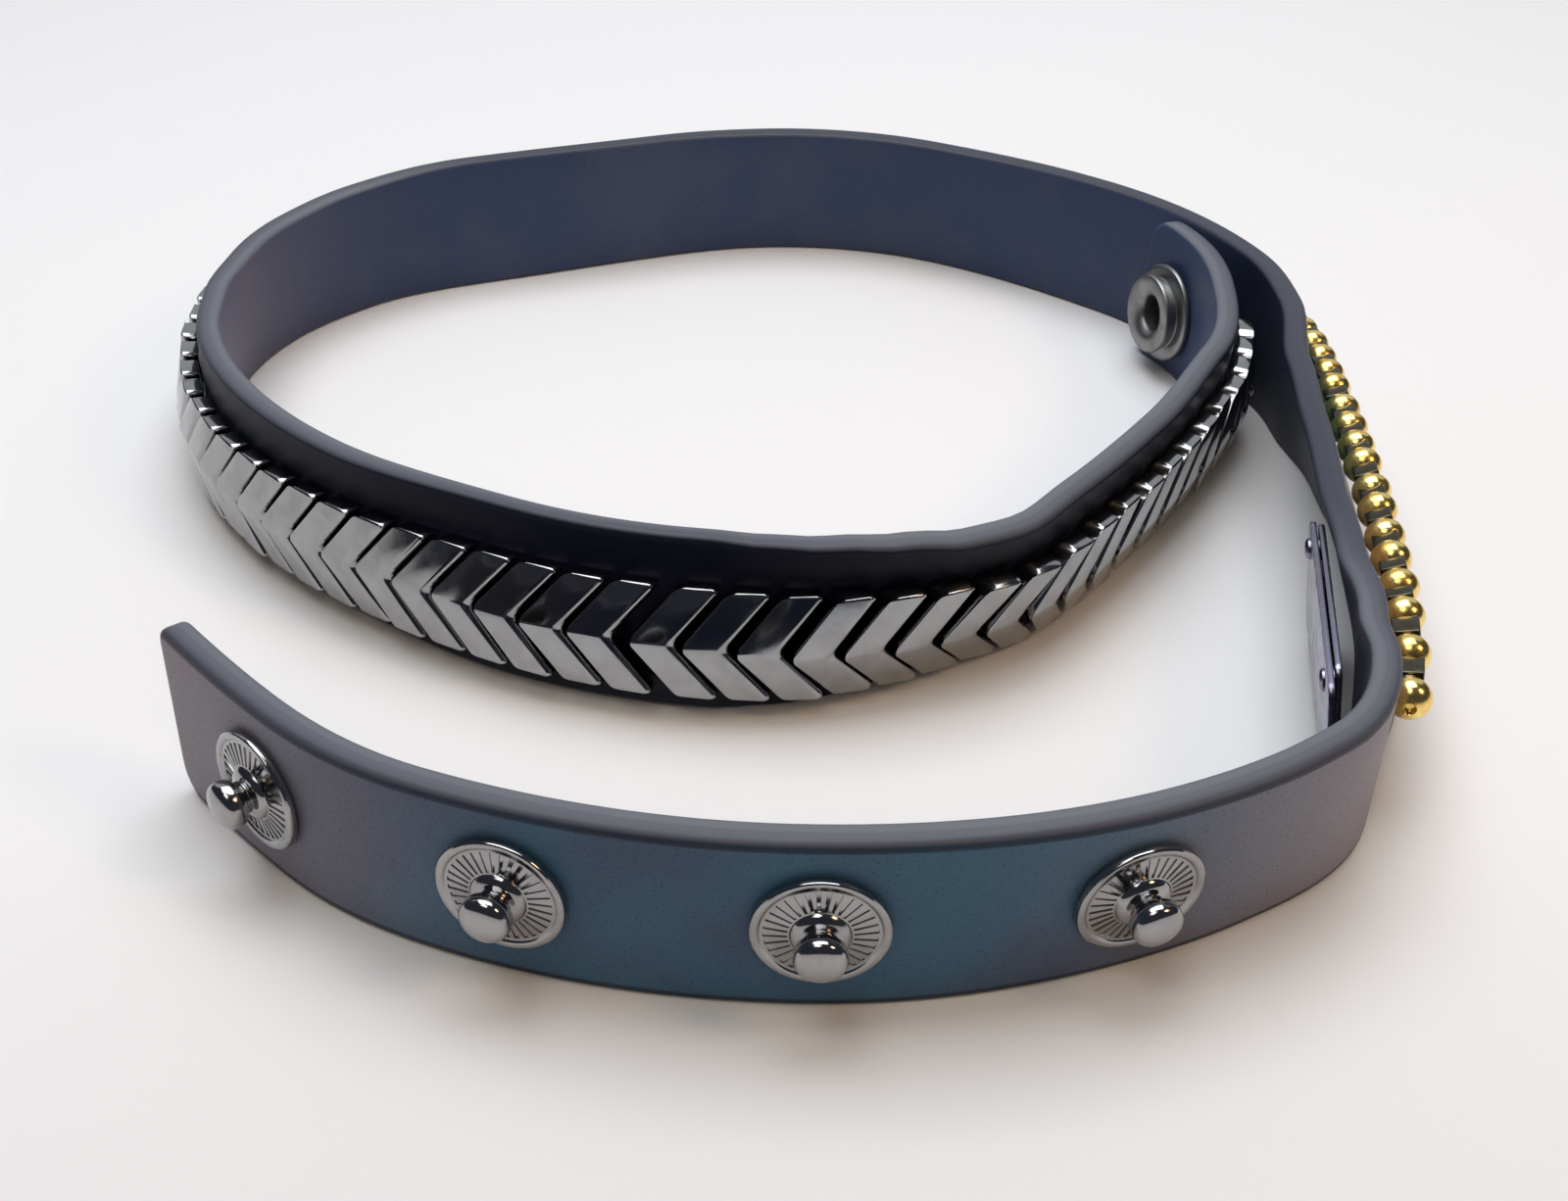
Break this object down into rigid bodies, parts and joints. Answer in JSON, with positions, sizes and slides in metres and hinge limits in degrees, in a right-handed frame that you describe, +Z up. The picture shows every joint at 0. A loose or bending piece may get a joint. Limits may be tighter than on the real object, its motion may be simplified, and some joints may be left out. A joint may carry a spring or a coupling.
{
  "type": "wrap bracelet",
  "caption": "Long smooth strap wrap bracelet with nested metal chevrons, a row of gold balls and snap studs, unfastened and standing on edge in a loose spiral.",
  "frame": {"origin": "on the surface that the bracelet stands on, under the middle of its footprint", "axes": "+Z up along the strap's width, +Y across the spiral away from the studs, +X to the right of the picture"},
  "size_m": [0.0924, 0.1068, 0.012],
  "materials": {
    "strap": "smooth coated strap, satin, with lighter edges",
    "chevron_metal": "polished gunmetal plating",
    "snap_metal": "polished black nickel plating",
    "spacer_metal": "polished gunmetal plating",
    "plate_metal": "brushed gunmetal plating",
    "gold": "polished gold plating"
  },
  "bodies": {
    "root": {"strap": "strap", "stud_1": "snap_metal", "stud_2": "snap_metal", "stud_3": "snap_metal", "stud_4": "snap_metal", "chevron_1": "chevron_metal", "chevron_2": "chevron_metal", "chevron_3": "chevron_metal", "chevron_4": "chevron_metal", "chevron_5": "chevron_metal", "chevron_6": "chevron_metal", "chevron_7": "chevron_metal", "chevron_8": "chevron_metal", "chevron_9": "chevron_metal", "chevron_10": "chevron_metal", "chevron_11": "chevron_metal", "chevron_12": "chevron_metal", "chevron_13": "chevron_metal", "chevron_14": "chevron_metal", "chevron_15": "chevron_metal", "chevron_16": "chevron_metal", "chevron_17": "chevron_metal", "chevron_18": "chevron_metal", "chevron_19": "chevron_metal", "chevron_20": "chevron_metal", "chevron_21": "chevron_metal", "chevron_22": "chevron_metal", "chevron_23": "chevron_metal", "chevron_24": "chevron_metal", "chevron_25": "chevron_metal", "chevron_26": "chevron_metal", "chevron_27": "chevron_metal", "chevron_28": "chevron_metal", "chevron_29": "chevron_metal", "chevron_30": "chevron_metal", "chevron_31": "chevron_metal", "chevron_32": "chevron_metal", "chevron_33": "chevron_metal", "chevron_34": "chevron_metal", "chevron_35": "chevron_metal", "chevron_36": "chevron_metal", "chevron_37": "chevron_metal", "chevron_38": "chevron_metal", "chevron_39": "chevron_metal", "chevron_40": "chevron_metal", "gold_balls": "gold", "ball_spacers": "spacer_metal", "socket": "snap_metal", "inner_plate": "plate_metal"}
  },
  "joints": []
}
